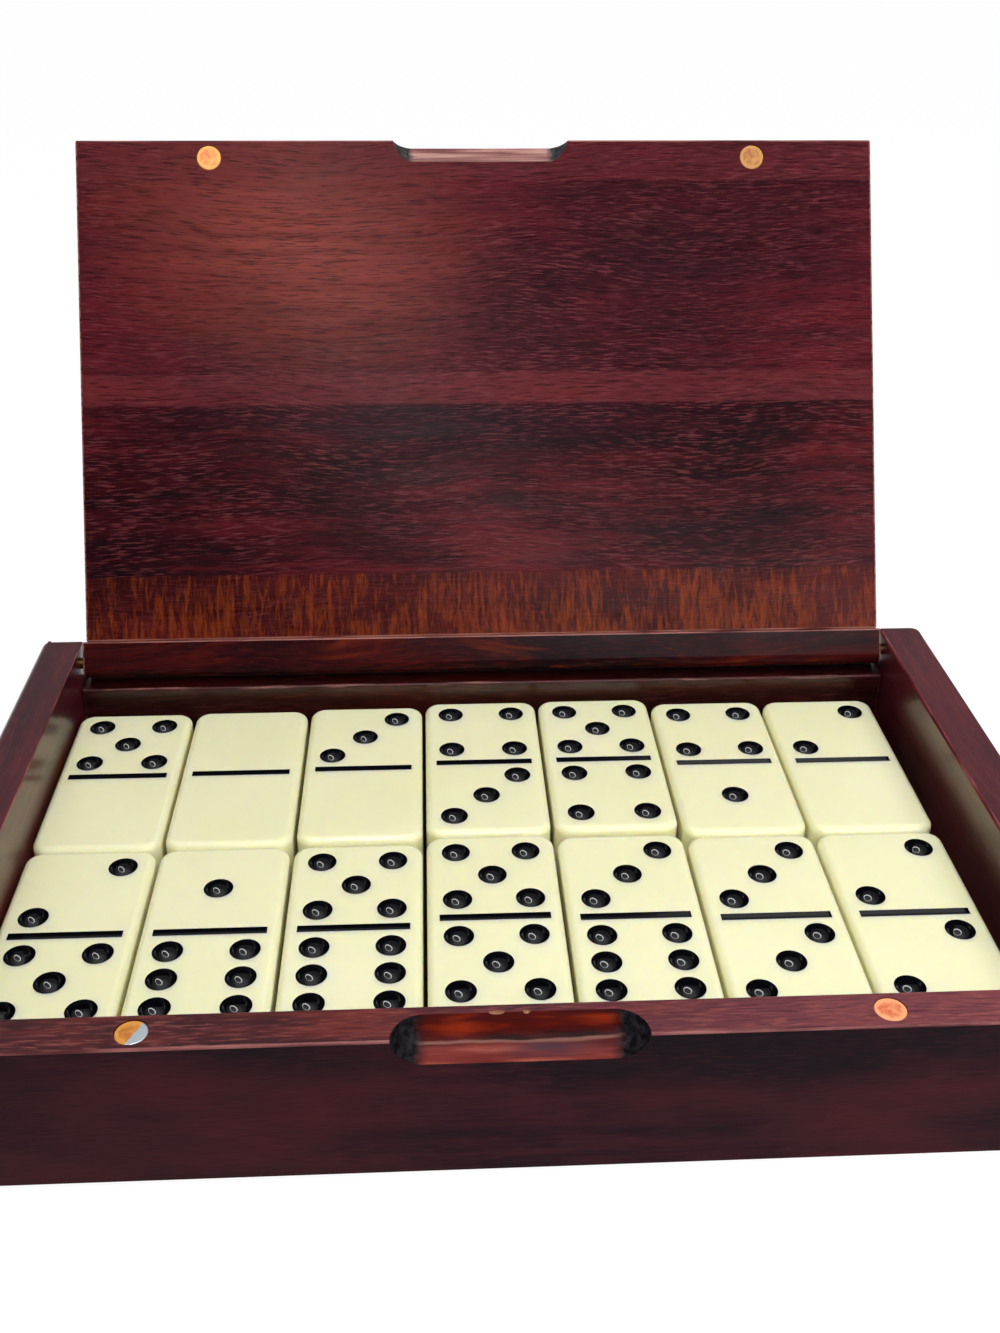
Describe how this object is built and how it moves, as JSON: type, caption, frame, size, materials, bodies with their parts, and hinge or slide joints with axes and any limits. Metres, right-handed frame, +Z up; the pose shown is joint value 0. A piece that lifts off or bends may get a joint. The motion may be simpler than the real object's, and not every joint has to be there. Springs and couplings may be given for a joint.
{
  "type": "domino storage box",
  "caption": "Flat wooden box with a pin-hinged lid standing open, held shut by magnets, filled with two layers of loose domino tiles.",
  "frame": {"origin": "middle of the box's flat underside", "axes": "+X to the right seen from the front, -Y to the front, +Z up"},
  "size_m": [0.203, 0.1768, 0.1391],
  "materials": {
    "mahogany": "red-brown stain under clear satin lacquer",
    "ivory": "polished cream resin with black painted pips",
    "magnet": "plated disc under amber lacquer",
    "brass": "satin"
  },
  "bodies": {
    "box": {"left_wall": "mahogany", "right_wall": "mahogany", "front_wall": "mahogany", "back_wall": "mahogany", "bottom_panel": "mahogany", "left_hinge_pin": "brass", "right_hinge_pin": "brass", "left_box_magnet": "magnet", "right_box_magnet": "magnet"},
    "lid": {"lid_board": "mahogany", "hinge_rail": "mahogany", "left_lid_magnet": "magnet", "right_lid_magnet": "magnet"},
    "tile_2_3": {"tile_2_3": "ivory"},
    "tile_2_5": {"tile_2_5": "ivory"},
    "tile_2_4": {"tile_2_4": "ivory"},
    "tile_1_6": {"tile_1_6": "ivory"},
    "tile_2_6": {"tile_2_6": "ivory"},
    "tile_5_6": {"tile_5_6": "ivory"},
    "tile_3_5": {"tile_3_5": "ivory"},
    "tile_5_5": {"tile_5_5": "ivory"},
    "tile_4_4": {"tile_4_4": "ivory"},
    "tile_3_6": {"tile_3_6": "ivory"},
    "tile_4_6": {"tile_4_6": "ivory"},
    "tile_3_3": {"tile_3_3": "ivory"},
    "tile_6_6": {"tile_6_6": "ivory"},
    "tile_2_2": {"tile_2_2": "ivory"},
    "tile_0_1": {"tile_0_1": "ivory"},
    "tile_0_5": {"tile_0_5": "ivory"},
    "tile_0_4": {"tile_0_4": "ivory"},
    "tile_0_0": {"tile_0_0": "ivory"},
    "tile_0_6": {"tile_0_6": "ivory"},
    "tile_0_3": {"tile_0_3": "ivory"},
    "tile_1_1": {"tile_1_1": "ivory"},
    "tile_3_4": {"tile_3_4": "ivory"},
    "tile_1_2": {"tile_1_2": "ivory"},
    "tile_4_5": {"tile_4_5": "ivory"},
    "tile_1_3": {"tile_1_3": "ivory"},
    "tile_1_4": {"tile_1_4": "ivory"},
    "tile_1_5": {"tile_1_5": "ivory"},
    "tile_0_2": {"tile_0_2": "ivory"}
  },
  "joints": [
    {"name": "lid_hinge", "type": "hinge", "parent": "box", "child": "lid", "pos_m": [0, 0.0567, 0.0351], "axis": [-1, 0, 0], "range_deg": [-119, 0]},
    {"name": "tile_2_3_lift", "type": "slide", "parent": "box", "child": "tile_2_3", "axis": [0, 0, 1], "range_m": [0, 0.04]},
    {"name": "tile_2_5_lift", "type": "slide", "parent": "tile_2_3", "child": "tile_2_5", "axis": [0, 0, 1], "range_m": [0, 0.03]},
    {"name": "tile_2_4_lift", "type": "slide", "parent": "box", "child": "tile_2_4", "axis": [0, 0, 1], "range_m": [0, 0.04]},
    {"name": "tile_1_6_lift", "type": "slide", "parent": "tile_2_4", "child": "tile_1_6", "axis": [0, 0, 1], "range_m": [0, 0.03]},
    {"name": "tile_2_6_lift", "type": "slide", "parent": "box", "child": "tile_2_6", "axis": [0, 0, 1], "range_m": [0, 0.04]},
    {"name": "tile_5_6_lift", "type": "slide", "parent": "tile_2_6", "child": "tile_5_6", "axis": [0, 0, 1], "range_m": [0, 0.03]},
    {"name": "tile_3_5_lift", "type": "slide", "parent": "box", "child": "tile_3_5", "axis": [0, 0, 1], "range_m": [0, 0.04]},
    {"name": "tile_5_5_lift", "type": "slide", "parent": "tile_3_5", "child": "tile_5_5", "axis": [0, 0, 1], "range_m": [0, 0.03]},
    {"name": "tile_4_4_lift", "type": "slide", "parent": "box", "child": "tile_4_4", "axis": [0, 0, 1], "range_m": [0, 0.04]},
    {"name": "tile_3_6_lift", "type": "slide", "parent": "tile_4_4", "child": "tile_3_6", "axis": [0, 0, 1], "range_m": [0, 0.03]},
    {"name": "tile_4_6_lift", "type": "slide", "parent": "box", "child": "tile_4_6", "axis": [0, 0, 1], "range_m": [0, 0.04]},
    {"name": "tile_3_3_lift", "type": "slide", "parent": "tile_4_6", "child": "tile_3_3", "axis": [0, 0, 1], "range_m": [0, 0.03]},
    {"name": "tile_6_6_lift", "type": "slide", "parent": "box", "child": "tile_6_6", "axis": [0, 0, 1], "range_m": [0, 0.04]},
    {"name": "tile_2_2_lift", "type": "slide", "parent": "tile_6_6", "child": "tile_2_2", "axis": [0, 0, 1], "range_m": [0, 0.03]},
    {"name": "tile_0_1_lift", "type": "slide", "parent": "box", "child": "tile_0_1", "axis": [0, 0, 1], "range_m": [0, 0.04]},
    {"name": "tile_0_5_lift", "type": "slide", "parent": "tile_0_1", "child": "tile_0_5", "axis": [0, 0, 1], "range_m": [0, 0.03]},
    {"name": "tile_0_4_lift", "type": "slide", "parent": "box", "child": "tile_0_4", "axis": [0, 0, 1], "range_m": [0, 0.04]},
    {"name": "tile_0_0_lift", "type": "slide", "parent": "tile_0_4", "child": "tile_0_0", "axis": [0, 0, 1], "range_m": [0, 0.03]},
    {"name": "tile_0_6_lift", "type": "slide", "parent": "box", "child": "tile_0_6", "axis": [0, 0, 1], "range_m": [0, 0.04]},
    {"name": "tile_0_3_lift", "type": "slide", "parent": "tile_0_6", "child": "tile_0_3", "axis": [0, 0, 1], "range_m": [0, 0.03]},
    {"name": "tile_1_1_lift", "type": "slide", "parent": "box", "child": "tile_1_1", "axis": [0, 0, 1], "range_m": [0, 0.04]},
    {"name": "tile_3_4_lift", "type": "slide", "parent": "tile_1_1", "child": "tile_3_4", "axis": [0, 0, 1], "range_m": [0, 0.03]},
    {"name": "tile_1_2_lift", "type": "slide", "parent": "box", "child": "tile_1_2", "axis": [0, 0, 1], "range_m": [0, 0.04]},
    {"name": "tile_4_5_lift", "type": "slide", "parent": "tile_1_2", "child": "tile_4_5", "axis": [0, 0, 1], "range_m": [0, 0.03]},
    {"name": "tile_1_3_lift", "type": "slide", "parent": "box", "child": "tile_1_3", "axis": [0, 0, 1], "range_m": [0, 0.04]},
    {"name": "tile_1_4_lift", "type": "slide", "parent": "tile_1_3", "child": "tile_1_4", "axis": [0, 0, 1], "range_m": [0, 0.03]},
    {"name": "tile_1_5_lift", "type": "slide", "parent": "box", "child": "tile_1_5", "axis": [0, 0, 1], "range_m": [0, 0.04]},
    {"name": "tile_0_2_lift", "type": "slide", "parent": "tile_1_5", "child": "tile_0_2", "axis": [0, 0, 1], "range_m": [0, 0.03]}
  ]
}
